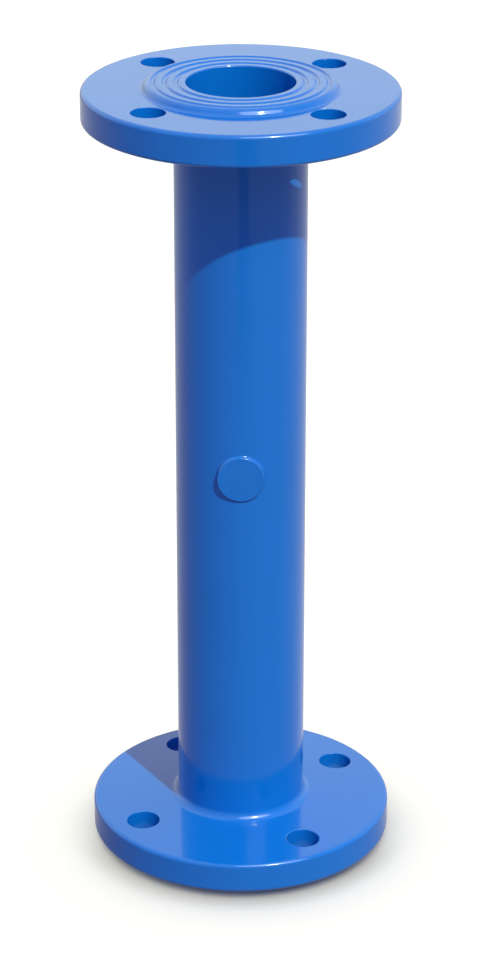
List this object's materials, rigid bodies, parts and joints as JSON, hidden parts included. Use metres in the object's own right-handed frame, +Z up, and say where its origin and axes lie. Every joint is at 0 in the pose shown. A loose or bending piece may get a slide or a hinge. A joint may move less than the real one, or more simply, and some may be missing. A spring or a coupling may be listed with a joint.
{
  "type": "double flanged pipe spool",
  "caption": "Straight cast pipe length with a drilled flange and a grooved raised gasket face at each end, coated blue.",
  "frame": {"origin": "centre of the lower raised face, on the pipe's axis", "axes": "+Z up along the pipe's axis, -Y towards the round cast pad on the barrel"},
  "size_m": [0.1749, 0.175, 0.46],
  "materials": {
    "blue_coating": "glossy blue epoxy coating with a faint ripple, over cast iron"
  },
  "bodies": {
    "root": {"flanged_pipe": "blue_coating"}
  },
  "joints": []
}
